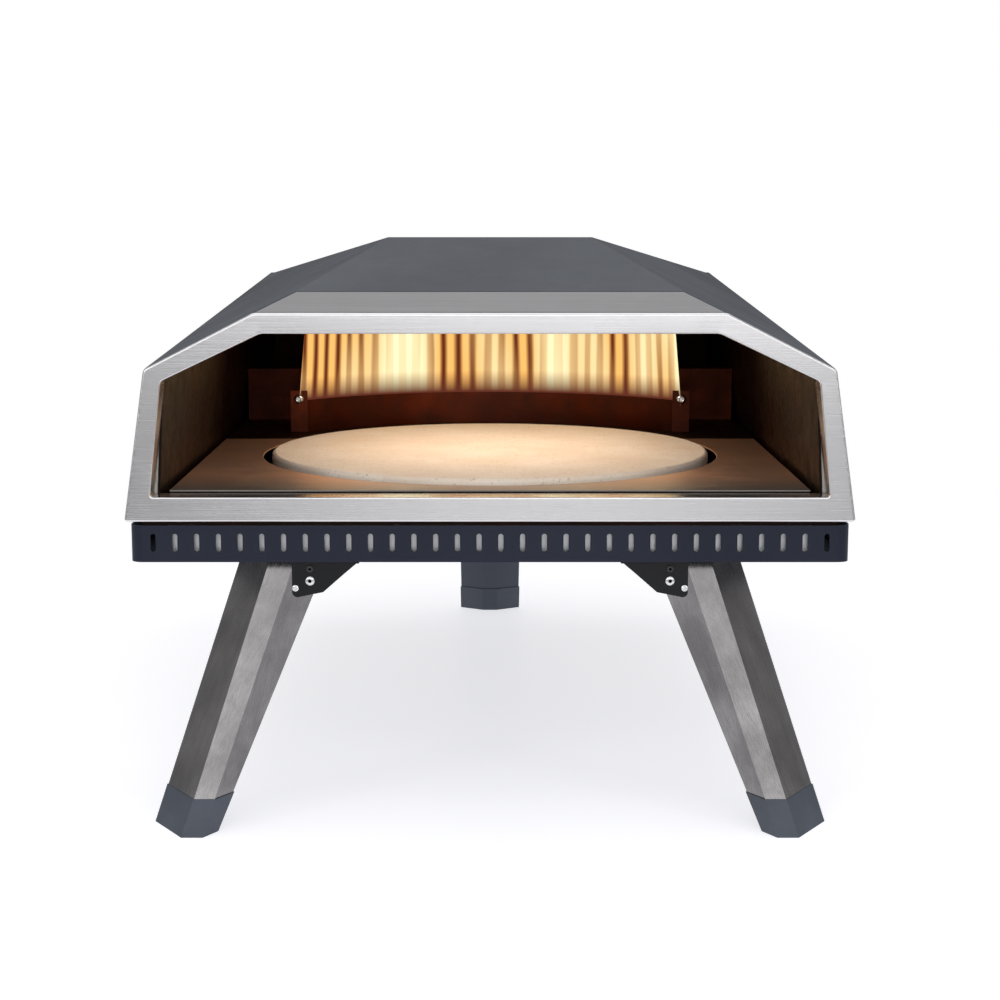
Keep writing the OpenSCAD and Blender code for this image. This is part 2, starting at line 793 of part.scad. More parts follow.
front_frame();
brow_band();
hood_shell();
insulation();
oven_liner();
rear_panel();
chassis_plate();
vent_skirt();
slot_liner();
floor_support();
floor_plate();
rear_floor();
flame_guard();
flame_comb();
fire_baffles();
guard_bolts();
firebox();
bearing_housing();
bearing();
hood_screws();
pan_screws();
panel_screws();
hinge_leaf();
hinge_pin();
leg_bracket_left();
leg_bracket_right();
leg_bracket_rear();
pivot_bolts();
bracket_bolts();
bracket_rivets();
bracket_screws();
leg_shell_left();
leg_core_left();
foot_cap_left();
leg_shell_right();
leg_core_right();
foot_cap_right();
leg_shell_rear();
leg_core_rear();
foot_cap_rear();
pizza_stone();
stone_carrier();
spindle();
spindle_nut();
drawer_tray();
drawer_face();
drawer_handle();
fuel_grate();
fuel_door();
door_knob();
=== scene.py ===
"""Looks of the portable wood fired pizza oven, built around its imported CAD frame."""

import json
import math

import bmesh
import bpy
from mathutils import Matrix, Vector


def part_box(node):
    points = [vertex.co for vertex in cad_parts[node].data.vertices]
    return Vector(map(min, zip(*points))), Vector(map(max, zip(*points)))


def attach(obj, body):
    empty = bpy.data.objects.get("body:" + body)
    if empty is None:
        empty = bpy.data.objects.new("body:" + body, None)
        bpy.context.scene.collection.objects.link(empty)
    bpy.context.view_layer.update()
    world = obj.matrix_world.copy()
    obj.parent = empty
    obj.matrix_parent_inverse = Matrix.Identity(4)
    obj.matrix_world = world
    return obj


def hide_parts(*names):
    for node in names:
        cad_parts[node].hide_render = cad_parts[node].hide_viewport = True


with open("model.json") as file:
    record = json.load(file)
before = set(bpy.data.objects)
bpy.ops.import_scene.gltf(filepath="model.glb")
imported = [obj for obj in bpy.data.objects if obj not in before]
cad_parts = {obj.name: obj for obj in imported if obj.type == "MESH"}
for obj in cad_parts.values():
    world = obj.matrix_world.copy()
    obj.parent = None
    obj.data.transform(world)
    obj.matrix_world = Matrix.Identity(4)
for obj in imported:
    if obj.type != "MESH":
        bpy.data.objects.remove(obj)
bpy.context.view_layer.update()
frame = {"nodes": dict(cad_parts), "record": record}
NODES = frame["nodes"]
MM = 0.001
DEG = math.radians(1)
SIDES = ("left", "right", "rear")


def shade(red, green, blue):
    """A colour given as it looks on a screen, 0 to 255, as shader values."""
    return tuple((c / 255) ** 2.2 for c in (red, green, blue))


def body_of(node):
    return next(b for b, names in frame["record"]["behaviour"]["bodies"].items() if node in names)


# ------------------------------------------------------------------ shader helpers


def new_group(name, inputs, outputs):
    """An empty node group with a vector input, float inputs {name: default} and float outputs."""
    group = bpy.data.node_groups.new(name, "ShaderNodeTree")
    group.interface.new_socket("Vector", in_out="INPUT", socket_type="NodeSocketVector")
    for label, default in inputs.items():
        socket = group.interface.new_socket(label, in_out="INPUT", socket_type="NodeSocketFloat")
        socket.default_value = default
    for label in outputs:
        group.interface.new_socket(label, in_out="OUTPUT", socket_type="NodeSocketFloat")
    tree = Tree(group)
    return group, tree, tree.node("NodeGroupInput"), tree.node("NodeGroupOutput")


class Tree:
    """Short calls for adding and joining the nodes of one tree."""

    def __init__(self, owner):
        self.nodes = owner.nodes
        self.links = owner.links

    def node(self, kind, inputs=None, **settings):
        made = self.nodes.new(kind if kind.startswith("Node") else "ShaderNode" + kind)
        for key, value in settings.items():
            setattr(made, key, value)
        for key, value in (inputs or {}).items():
            self.feed(made, key, value)
        return made

    def feed(self, node, key, value):
        if isinstance(value, bpy.types.NodeSocket):
            self.links.new(value, node.inputs[key])
        else:
            node.inputs[key].default_value = value

    def math(self, operation, a, b=0.0, clamp=False):
        return self.node("Math", {0: a, 1: b}, operation=operation, use_clamp=clamp).outputs[0]

    def noise(self, vector, scale, detail=3.0, rough=0.55):
        inputs = {"Vector": vector, "Scale": scale, "Detail": detail, "Roughness": rough}
        return self.node("TexNoise", inputs).outputs["Fac"]

    def scaled(self, vector, factors, turn=(0, 0, 0)):
        inputs = {"Vector": vector, "Scale": factors, "Rotation": turn}
        return self.node("Mapping", inputs).outputs[0]

    def spread(self, value, low, high, new_low=0.0, new_high=1.0):
        inputs = {0: value, 1: low, 2: high, 3: new_low, 4: new_high}
        return self.node("MapRange", inputs, clamp=True).outputs[0]

    def mix(self, factor, a, b, blend="MIX"):
        made = self.node("Mix", data_type="RGBA", blend_type=blend)
        for key, value in ((0, factor), (6, a), (7, b)):
            self.feed(made, key, value)
        return made.outputs[2]


def make_grain_group():
    """Brushed metal: long fine scratches along the vector's Z, with broad soft bands."""
    group, t, gi, go = new_group("BrushedGrain", {"Fineness": 900.0, "Length": 9.0}, ("Scratch", "Band"))
    fine = gi.outputs["Fineness"]
    stretch = t.node("CombineXYZ", {0: fine, 1: fine, 2: gi.outputs["Length"]}).outputs[0]
    along = t.node("VectorMath", {0: gi.outputs["Vector"], 1: stretch}, operation="MULTIPLY").outputs[0]
    scratch = t.noise(along, 1.0, 5.0, 0.7)
    broad = (0.07, 0.07, 0.35)
    along_bands = t.node("VectorMath", {0: along, 1: broad}, operation="MULTIPLY").outputs[0]
    band = t.noise(along_bands, 1.0, 2.0, 0.5)
    t.links.new(t.spread(scratch, 0.28, 0.72), go.inputs["Scratch"])
    t.links.new(t.spread(band, 0.3, 0.7), go.inputs["Band"])
    return group


def make_blotch_group():
    """Slow uneven patches and finer smudges, as handling and heat leave on a surface."""
    group, t, gi, go = new_group("Blotches", {"Size": 14.0}, ("Patch", "Smudge"))
    patch = t.noise(gi.outputs["Vector"], gi.outputs["Size"], 3.0, 0.5)
    finer = t.math("MULTIPLY", gi.outputs["Size"], 5.3)
    smudge = t.noise(gi.outputs["Vector"], finer, 5.0, 0.62)
    t.links.new(t.spread(patch, 0.33, 0.67), go.inputs["Patch"])
    t.links.new(t.spread(smudge, 0.35, 0.7), go.inputs["Smudge"])
    return group


def make_peel_group():
    """Powder coat: the fine orange peel of a baked paint, and its rare dust specks."""
    group, t, gi, go = new_group("OrangePeel", {"Pitch": 900.0}, ("Height", "Speck"))
    peel = t.noise(gi.outputs["Vector"], gi.outputs["Pitch"], 2.0, 0.5)
    cells = t.node("TexVoronoi", {"Vector": gi.outputs["Vector"], "Scale": gi.outputs["Pitch"]})
    speck = t.spread(cells.outputs["Distance"], 0.05, 0.16, 1.0, 0.0)
    t.links.new(peel, go.inputs["Height"])
    t.links.new(speck, go.inputs["Speck"])
    return group


def make_grit_group():
    """Fired cordierite: pores, pale and brown grains, and faint pressed mottling."""
    group, t, gi, go = new_group("StoneGrit", {"Grain": 700.0}, ("Pore", "Fleck", "Mottle"))
    grain = gi.outputs["Grain"]
    cells = t.node("TexVoronoi", {"Vector": gi.outputs["Vector"], "Scale": grain})
    t.links.new(t.spread(cells.outputs["Distance"], 0.06, 0.3, 1.0, 0.0), go.inputs["Pore"])
    fleck = t.noise(gi.outputs["Vector"], t.math("MULTIPLY", grain, 0.55), 2.0, 0.5)
    t.links.new(t.spread(fleck, 0.62, 0.72), go.inputs["Fleck"])
    mottle = t.noise(gi.outputs["Vector"], t.math("MULTIPLY", grain, 0.03), 4.0, 0.6)
    t.links.new(t.spread(mottle, 0.3, 0.7), go.inputs["Mottle"])
    return group


GRAIN = make_grain_group()
BLOTCH = make_blotch_group()
PEEL = make_peel_group()
GRIT = make_grit_group()


class Finish(Tree):
    """A new material with a Principled BSDF, and the ways to lay detail into it."""

    def __init__(self, name, **constants):
        self.material = bpy.data.materials.new(name)
        self.material.use_nodes = True
        super().__init__(self.material.node_tree)
        self.shader = self.nodes["Principled BSDF"]
        for label, value in constants.items():
            self.shader.inputs[label.replace("_", " ")].default_value = value
        self.where = self.node("TexCoord").outputs["Object"]

    def group(self, group, vector, **values):
        made = self.node("Group", node_tree=group)
        self.links.new(vector, made.inputs["Vector"])
        for label, value in values.items():
            made.inputs[label].default_value = value
        return made.outputs

    def colour(self, socket):
        self.links.new(socket, self.shader.inputs["Base Color"])

    def roughness(self, socket):
        self.links.new(socket, self.shader.inputs["Roughness"])

    def bump(self, height, strength, distance):
        inputs = {"Height": height, "Strength": strength, "Distance": distance}
        self.links.new(self.node("Bump", inputs).outputs[0], self.shader.inputs["Normal"])


def brushed_metal(
    name, dark, light, rough, grain_turn, fineness, smear, metal=1.0, reflection_cloud=0.0, heat_tint_and_firelight=None
):
    """Brushed stainless: scratches along the turned Z axis, soft bands and hand smudges.

    cloud paints slow dark patches, a painted cloudy reflection. warmth is a heat tint with painted
    firelight, lighter and warmer from the front to the back.
    """
    f = Finish(name, Metallic=metal, Anisotropic=0.45)
    turned = f.scaled(f.where, (1, 1, 1), grain_turn)
    grain = f.group(GRAIN, turned, Fineness=fineness)
    blot = f.group(BLOTCH, f.where, Size=9.0)
    base = f.mix(grain["Scratch"], (*dark, 1), (*light, 1))
    base = f.mix(f.math("MULTIPLY", grain["Band"], 0.35), base, (*light, 1))
    base = f.mix(f.math("MULTIPLY", blot["Smudge"], 0.22 * smear), base, (*dark, 1))
    # Painted reflection: slow dark patches stand in for cloudy reflections on polished steel.
    if reflection_cloud:
        reflection_patch = f.group(BLOTCH, turned, Size=26.0)["Patch"]
        base = f.mix(f.math("MULTIPLY", reflection_patch, reflection_cloud), base, tuple(c * 0.5 for c in dark) + (1,))
    # Painted firelight over a heat tint: the colour grows lighter and warmer from the front towards the
    # fire at the back.
    if heat_tint_and_firelight:
        tint, start, end = heat_tint_and_firelight
        depth = f.spread(f.node("SeparateXYZ", {0: f.where}).outputs[1], start, end)
        base = f.mix(depth, base, f.mix(f.math("MULTIPLY", blot["Patch"], 0.25), (*tint, 1), base))
    f.colour(base)
    worn = f.spread(grain["Scratch"], 0.0, 1.0, rough - 0.08, rough + 0.08)
    f.roughness(f.math("ADD", worn, f.math("MULTIPLY", blot["Smudge"], 0.10 * smear)))
    f.bump(grain["Scratch"], 0.16, 0.0001)
    return f.material


def painted_metal(name, base, rough, pitch=1100.0, peel=0.25, dust=0.35, gloss=0.25):
    """Powder coated sheet: orange peel, faint patches, and a little dust that lightens it."""
    f = Finish(name, Specular_IOR_Level=gloss)
    skin = f.group(PEEL, f.where, Pitch=pitch)
    blot = f.group(BLOTCH, f.where, Size=7.0)
    lighter = tuple(min(1.0, c * 1.16 + 0.003) for c in base)
    darker = tuple(c * 0.90 for c in base)
    tone = f.mix(blot["Patch"], (*darker, 1), (*lighter, 1))
    tone = f.mix(f.math("MULTIPLY", skin["Speck"], dust), tone, (*lighter, 1))
    f.colour(tone)
    f.roughness(f.spread(blot["Smudge"], 0.0, 1.0, rough - 0.05, rough + 0.09))
    f.bump(skin["Height"], peel, 0.0002)
    return f.material


def heated_metal(name, dark, warm, rough):
    """Steel that has been fired: brown and straw oxide patches with soot over a faint grain. The tones
    it is given carry painted red firelight as well.
    """
    f = Finish(name, Metallic=0.85)
    grain = f.group(GRAIN, f.scaled(f.where, (1, 1, 1), (0, math.pi / 2, 0)), Fineness=700.0)
    blot = f.group(BLOTCH, f.where, Size=8.0)
    tone = f.mix(blot["Patch"], (*dark, 1), (*warm, 1))
    tone = f.mix(f.math("MULTIPLY", blot["Smudge"], 0.55), tone, (0.02, 0.014, 0.01, 1))
    tone = f.mix(f.math("MULTIPLY", grain["Scratch"], 0.18), tone, (*warm, 1))
    f.colour(tone)
    f.roughness(f.spread(blot["Smudge"], 0.0, 1.0, rough - 0.06, rough + 0.2))
    f.bump(grain["Scratch"], 0.12, 0.0001)
    return f.material


def moulded_plastic(name, base, rough, pitch=1500.0):
    """Glass filled nylon: a fine spark texture with slow tone changes."""
    f = Finish(name)
    skin = f.group(PEEL, f.where, Pitch=pitch)
    blot = f.group(BLOTCH, f.where, Size=22.0)
    lighter = tuple(c * 1.4 + 0.004 for c in base)
    f.colour(f.mix(blot["Patch"], (*base, 1), (*lighter, 1)))
    f.roughness(f.spread(blot["Smudge"], 0.0, 1.0, rough - 0.05, rough + 0.08))
    f.bump(skin["Height"], 0.35, 0.0003)
    return f.material


def fired_stone(name):
    """Cordierite: cream body with pores, brown flecks and faint toasting."""
    f = Finish(name, Specular_IOR_Level=0.3)
    grit = f.group(GRIT, f.where)
    tone = f.mix(grit["Mottle"], (*shade(240, 222, 202), 1), (*shade(249, 237, 222), 1))
    tone = f.mix(f.math("MULTIPLY", grit["Fleck"], 0.45), tone, (*shade(176, 148, 120), 1))
    tone = f.mix(f.math("MULTIPLY", grit["Pore"], 0.35), tone, (*shade(186, 162, 136), 1))
    f.colour(tone)
    f.roughness(f.spread(grit["Mottle"], 0.0, 1.0, 0.78, 0.92))
    f.bump(f.math("SUBTRACT", grit["Fleck"], grit["Pore"]), 0.5, 0.0004)
    return f.material


def cast_grate(name):
    """Sand cast iron, dark and granular, with ash caught in the low spots."""
    f = Finish(name, Metallic=0.6)
    skin = f.group(PEEL, f.where, Pitch=420.0)
    blot = f.group(BLOTCH, f.where, Size=25.0)
    tone = f.mix(blot["Patch"], (0.03, 0.029, 0.03, 1), (0.09, 0.075, 0.065, 1))
    tone = f.mix(f.math("MULTIPLY", blot["Smudge"], 0.25), tone, (0.35, 0.33, 0.31, 1))
    f.colour(tone)
    f.roughness(f.spread(blot["Smudge"], 0.0, 1.0, 0.6, 0.85))
    f.bump(skin["Height"], 0.6, 0.0006)
    return f.material


def ceramic_fibre(name):
    """Ceramic fibre blanket: matted white wool with slow lumps."""
    f = Finish(name)
    fibres = f.group(GRAIN, f.where, Fineness=500.0, Length=120.0)
    blot = f.group(BLOTCH, f.where, Size=30.0)
    f.colour(f.mix(fibres["Scratch"], (0.62, 0.58, 0.50, 1), (0.86, 0.83, 0.77, 1)))
    f.roughness(f.spread(blot["Smudge"], 0.0, 1.0, 0.85, 0.98))
    f.bump(fibres["Scratch"], 0.8, 0.001)
    return f.material


# Turns of the grain: brushed from side to side, and left upright
ACROSS = (0, math.pi / 2, 0)
UPRIGHT = (0, 0, 0)

MOUTH_STEEL = brushed_metal(
    "MouthFrameSteel", shade(206, 205, 207), shade(219, 218, 220), 0.22, ACROSS, 1800.0, 0.3
)
BROW_STEEL = brushed_metal(
    "BrowSteel", shade(114, 114, 115), shade(134, 134, 135), 0.36, ACROSS, 1300.0, 0.3
)
PLATE_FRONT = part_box("floor_plate")[0][1]
# Towards the back the floor plate carries a heat tint with painted firelight, lighter and warmer.
PLATE_STEEL = brushed_metal(
    "FloorPlateSteel", shade(106, 101, 97), shade(140, 134, 128), 0.36, ACROSS, 600.0, 0.8, 0.75,
    heat_tint_and_firelight=(shade(222, 172, 140), PLATE_FRONT, PLATE_FRONT + 70 * MM),
)
SLOT_STEEL = brushed_metal(
    "SlotLinerSteel", shade(222, 222, 226), shade(250, 250, 252), 0.42, UPRIGHT, 500.0, 0.3, 0.45
)
PANEL_STEEL = brushed_metal(
    "FuelDoorSteel", shade(160, 160, 162), shade(200, 200, 201), 0.32, ACROSS, 800.0, 0.7
)


def leg_turn(side):
    """The turn that stands a leg upright, so that its grain can run along it."""
    cap_low, cap_high = (Vector(c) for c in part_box("foot_cap_" + side))
    shell_low, shell_high = (Vector(c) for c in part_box("leg_shell_" + side))
    foot = (cap_low + cap_high) / 2
    x = {"left": shell_high.x, "right": shell_low.x, "rear": 0.0}[side]
    inward = {"left": -1, "right": 1, "rear": 0}[side] * (cap_high.x - cap_low.x) / 2
    y = {"rear": shell_low.y}.get(side, shell_high.y)
    back = (1 if side == "rear" else -1) * (cap_high.y - cap_low.y) / 2
    along = Vector((x + inward, y + back, shell_high.z)) - foot
    return along.rotation_difference(Vector((0, 0, 1))).to_euler()


# The legs' steel carries painted cloudy reflections, laid in as slow dark patches.
LEG_STEEL = {
    side: brushed_metal(
        side.title() + "LegSteel", shade(112, 110, 111), shade(156, 153, 154), 0.25,
        leg_turn(side), 1500.0, 0.2, reflection_cloud=0.55,
    )
    for side in SIDES
}
BOLT_STEEL = brushed_metal(
    "ZincPlatedSteel", shade(196, 196, 198), shade(232, 232, 234), 0.2, UPRIGHT, 1500.0, 0.6
)
HOOD_PAINT = painted_metal("HoodPaint", shade(84, 87, 93), 0.46, peel=0.16, gloss=0.12)
TRAY_PAINT = painted_metal("TrayPaint", shade(26, 31, 45), 0.40, peel=0.22)
BLACK_PAINT = painted_metal("BracketPaint", shade(15, 16, 20), 0.34, peel=0.22)
INSERT_PAINT = painted_metal("LegInsertPaint", shade(66, 71, 82), 0.42, peel=0.22)
# Fired steel: oxide brown, reddened with painted firelight.
HEATED_AND_FIRELIT = heated_metal("FiredSteelFirelit", shade(56, 22, 12), shade(104, 46, 24), 0.38)
# The liner's dark red is sooted steel, reddened with painted firelight.
LINER = heated_metal("LinerSteel", shade(20, 9, 6), shade(45, 20, 13), 0.48)
FOOT = moulded_plastic("FootCapNylon", shade(46, 53, 64), 0.36)
GRIP = moulded_plastic("GripNylon", shade(30, 30, 31), 0.45)
STONE = fired_stone("CordieriteStone")
GRATE = cast_grate("CastGrate")
FIBRE = ceramic_fibre("CeramicFibre")


# ------------------------------------------------------------------ mesh helpers


def bm_of(node):
    """A merged copy of a CAD node's mesh, with its flat faces joined up."""
    bm = bmesh.new()
    bm.from_mesh(NODES[node].data)
    bmesh.ops.remove_doubles(bm, verts=bm.verts, dist=1e-6)
    bmesh.ops.dissolve_limit(bm, angle_limit=math.radians(0.15), verts=bm.verts, edges=bm.edges)
    return bm


def sharp_edges(bm, angle):
    return [e for e in bm.edges if e.is_manifold and e.calc_face_angle(0.0) > math.radians(angle)]


def bevel(bm, edges, width, segments=3):
    bmesh.ops.bevel(
        bm, geom=edges, offset=width, offset_type="OFFSET", affect="EDGES", segments=segments,
        profile=0.5, clamp_overlap=True, material=-1,
    )


def piece(name, bm, material, body, replaced=()):
    """Makes a finished piece of a bmesh: shaded, given its finish, and riding on its body."""
    for face in bm.faces:
        face.smooth = True
        face.material_index = 0
    mesh = bpy.data.meshes.new(name)
    bm.to_mesh(mesh)
    bm.free()
    mesh.materials.append(material)
    mesh.set_sharp_from_angle(angle=math.radians(38))
    made = bpy.data.objects.new(name, mesh)
    bpy.context.scene.collection.objects.link(made)
    shading = made.modifiers.new("Shading", "WEIGHTED_NORMAL")
    shading.keep_sharp = True
    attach(made, body)
    if replaced:
        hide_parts(*replaced)
    return made


def softened(node, material, width, segments=3, angle=25, pick=None, first=None):
    """Stands for a CAD node: the same shape with its sharp edges rounded, or those that pick() takes.

    first() may work on the mesh before that.
    """
    bm = bm_of(node)
    if first:
        first(bm)
    edges = [e for e in sharp_edges(bm, angle) if pick is None or pick(e)]
    bevel(bm, edges, width, segments)
    return piece(node + "_soft", bm, material, body_of(node), (node,))


def finish_cad(node, material):
    """Lays a finish on a CAD node that keeps its own mesh."""
    for slot in NODES[node].material_slots:
        slot.material = material


# ------------------------------------------------------------------ hood and mouth


def make_hood():
    """The hood's sheets, with rounded bends and crisp cut edges."""
    thinnest = 2 * MM

    def is_sheet_side(face):
        return face.calc_area() / max(e.calc_length() for e in face.edges) > thinnest

    def is_bend(edge):
        return edge.is_convex and all(is_sheet_side(f) for f in edge.link_faces)

    softened("hood_shell", HOOD_PAINT, 2.5 * MM, 4, 6, is_bend)
    softened("brow_band", BROW_STEEL, 0.4 * MM, 2, 40)


def make_mouth_frame():
    """The frame's face is rolled over towards the front; its back edges stay crisp."""
    low, high = (Vector(c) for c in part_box("front_frame"))
    face_centre = Vector((0, low.y, (low.z + high.z) / 2))

    def is_front(edge):
        return all(v.co.y < low.y + MM for v in edge.verts)

    def is_outer(edge):
        """On the frame's outline rather than at the opening."""
        edge_middle = (edge.verts[0].co + edge.verts[1].co) / 2
        return any(
            abs(f.normal.y) < 0.5 and f.normal.dot(edge_middle - face_centre) > 0
            for f in edge.link_faces
        )

    def round_corners(bm):
        corners = [e for e in sharp_edges(bm, 12) if abs(e.verts[0].co.y - e.verts[1].co.y) > 4 * MM]
        bevel(bm, corners, 2.2 * MM, 5)
        bmesh.ops.recalc_face_normals(bm, faces=bm.faces)
        outline = [e for e in sharp_edges(bm, 60) if is_front(e) and is_outer(e)]
        bevel(bm, outline, 2.4 * MM, 6)

    softened("front_frame", MOUTH_STEEL, 1.1 * MM, 3, 60, is_front, round_corners)


# ------------------------------------------------------------------ screws


SCREW_FACETS = 36
# A head's dome, as fractions of its radius and height
SCREW_DOME = ((1.0, 0.0), (1.0, 0.35), (0.93, 0.62), (0.78, 0.85), (0.58, 1.0))


def add_screw(bm, place, axis, radius, height):
    """A domed head with a hexagonal socket, standing on a surface at the given place."""
    turn = Vector((0, 0, 1)).rotation_difference(Vector(axis)).to_matrix().to_4x4()
    seat = Matrix.Translation(place) @ turn
    rings = []
    for r, h in SCREW_DOME:
        ring = bmesh.ops.create_circle(
            bm, segments=SCREW_FACETS, radius=r * radius,
            matrix=seat @ Matrix.Translation((0, 0, h * height)),
        )
        rings.append(ring["verts"])
    socket = []
    for h in (1.0, 0.65):
        ring = bmesh.ops.create_circle(
            bm, segments=6, radius=0.40 * radius, cap_ends=h < 1,
            matrix=seat @ Matrix.Translation((0, 0, h * height)),
        )
        socket.append(ring["verts"])
    loops = [list(dict.fromkeys(e for v in ring for e in v.link_edges)) for ring in rings + socket]
    for low, high in zip(loops, loops[1:]):
        bmesh.ops.bridge_loops(bm, edges=low + high)


def islands(bm):
    """The separate bodies of a mesh, each as a list of vertices, in the mesh's own order."""
    seen = set()
    found = []
    for start in bm.verts:
        if start in seen:
            continue
        seen.add(start)
        island = [start]
        for vert in island:
            for near in (e.other_vert(vert) for e in vert.link_edges):
                if near not in seen:
                    seen.add(near)
                    island.append(near)
        found.append(island)
    return found


def make_screws(node, material, axis_of, radius, height):
    """Stands for a CAD node of screws, with domed and socketed heads in place of its plain ones."""
    bm = bm_of(node)
    seats = []
    for island in islands(bm):
        centre = sum((v.co for v in island), Vector()) / len(island)
        axis = Vector(axis_of(centre))
        reach = max(v.co.dot(axis) for v in island)
        top = [v.co for v in island if v.co.dot(axis) > reach - 0.01 * MM]
        seats.append((sum(top, Vector()) / len(top) - axis * height, axis))
        head = [v for v in island if v.co.dot(axis) > reach - height + 0.1 * MM]
        bmesh.ops.delete(bm, geom=head, context="VERTS")
    for seat, axis in seats:
        before = set(bm.faces)
        add_screw(bm, seat, axis, radius, height)
        bmesh.ops.recalc_face_normals(bm, faces=[f for f in bm.faces if f not in before])
    return piece(node + "_socketed", bm, material, body_of(node), (node,))


# ------------------------------------------------------------------ run

make_hood()
make_mouth_frame()

softened("vent_skirt", TRAY_PAINT, 0.5 * MM, 2, 40)
softened("rear_panel", HOOD_PAINT, 0.5 * MM, 2, 40)
softened("floor_plate", PLATE_STEEL, 0.5 * MM, 2, 60)
softened("drawer_face", PANEL_STEEL, 0.7 * MM, 3, 60)
softened("fuel_door", PANEL_STEEL, 0.6 * MM, 3, 60)
softened("drawer_handle", GRIP, 1.6 * MM, 4, 60)
softened("door_knob", GRIP, 1.2 * MM, 3, 20)
softened("pizza_stone", STONE, 1.0 * MM, 3, 30)
softened("flame_guard", HEATED_AND_FIRELIT, 0.4 * MM, 2, 60)
softened("fuel_grate", GRATE, 0.8 * MM, 2, 60)
softened("drawer_tray", HEATED_AND_FIRELIT, 0.3 * MM, 2, 60)


def is_ridge(edge):
    """A long fold of a leg's channel, rather than an edge of its sheet."""
    return edge.is_convex and edge.calc_length() > 60 * MM and edge.calc_face_angle(0.0) < 75 * DEG


for side in SIDES:
    softened("leg_shell_" + side, LEG_STEEL[side], 1.6 * MM, 4, 20, is_ridge)
    softened("leg_core_" + side, INSERT_PAINT, 0.8 * MM, 3, 30)
    softened("foot_cap_" + side, FOOT, 0.9 * MM, 3, 20)
    softened("leg_bracket_" + side, BLACK_PAINT, 0.4 * MM, 2, 60)

make_screws("bracket_bolts", BOLT_STEEL, lambda c: (0, -1 if c.y < 0 else 1, 0), 3.3 * MM, 1.8 * MM)
make_screws("bracket_screws", GRIP, lambda c: (0, -1 if c.y < 0 else 1, 0), 2.5 * MM, 1.4 * MM)
make_screws("hood_screws", BOLT_STEEL, lambda c: (math.copysign(1, c.x), 0, 0), 3.4 * MM, 2.0 * MM)
make_screws("pan_screws", BOLT_STEEL, lambda c: (0, 0, -1), 3.4 * MM, 2.0 * MM)
make_screws("panel_screws", BOLT_STEEL, lambda c: (0, 1, 0), 3.6 * MM, 2.4 * MM)
make_screws("guard_bolts", BOLT_STEEL, lambda c: (0, -1, 0), 4.0 * MM, 3.0 * MM)
softened("pivot_bolts", BOLT_STEEL, 0.4 * MM, 2, 50)
softened("bracket_rivets", BOLT_STEEL, 0.3 * MM, 2, 30)

CAD_FINISH = {
    "oven_liner": LINER, "insulation": FIBRE, "chassis_plate": LINER, "slot_liner": SLOT_STEEL,
    "floor_support": LINER, "rear_floor": LINER, "flame_comb": HEATED_AND_FIRELIT, "fire_baffles": HEATED_AND_FIRELIT,
    "firebox": HEATED_AND_FIRELIT, "bearing_housing": PANEL_STEEL, "bearing": BOLT_STEEL,
    "hinge_leaf": PANEL_STEEL, "hinge_pin": BOLT_STEEL,
    "stone_carrier": PANEL_STEEL, "spindle": BOLT_STEEL, "spindle_nut": BOLT_STEEL,
}
for node, material in CAD_FINISH.items():
    finish_cad(node, material)


# ------------------------------------------------------------------ camera, floor and light


def make_camera():
    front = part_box("front_frame")[0][1]
    data = bpy.data.cameras.new("Camera")
    data.lens = 69.2
    data.sensor_width = 36
    data.clip_end = 20
    data.shift_x = 0.010
    camera = bpy.data.objects.new("Camera", data)
    camera.location = (0, front - 1.240, 0.407)
    camera.rotation_euler = (math.pi / 2 - math.radians(8.88), 0, 0)
    bpy.context.scene.collection.objects.link(camera)
    bpy.context.scene.camera = camera


def area_light(name, place, aim, size, power, colour=(1, 1, 1)):
    data = bpy.data.lights.new(name, "AREA")
    data.shape = "RECTANGLE"
    data.size, data.size_y = size
    data.energy = power
    data.color = colour
    light = bpy.data.objects.new(name, data)
    light.location = place
    light.rotation_euler = (Vector(aim) - Vector(place)).to_track_quat("-Z", "Y").to_euler()
    bpy.context.scene.collection.objects.link(light)
    return light


def make_floor():
    bm = bmesh.new()
    bmesh.ops.create_grid(bm, x_segments=1, y_segments=1, size=6)
    mesh = bpy.data.meshes.new("Floor")
    bm.to_mesh(mesh)
    bm.free()
    floor = bpy.data.objects.new("Floor", mesh)
    bpy.context.scene.collection.objects.link(floor)
    f = Finish("FloorPaint", Roughness=0.35, Emission_Strength=0.70)
    f.shader.inputs["Base Color"].default_value = (0.50, 0.50, 0.52, 1)
    f.shader.inputs["Emission Color"].default_value = (0.97, 0.97, 1.0, 1)
    away = f.node("VectorMath", {0: f.where}, operation="LENGTH").outputs["Value"]
    f.links.new(f.spread(away, 0.55, 1.4, 1.0, 0.0), f.shader.inputs["Alpha"])
    mesh.materials.append(f.material)


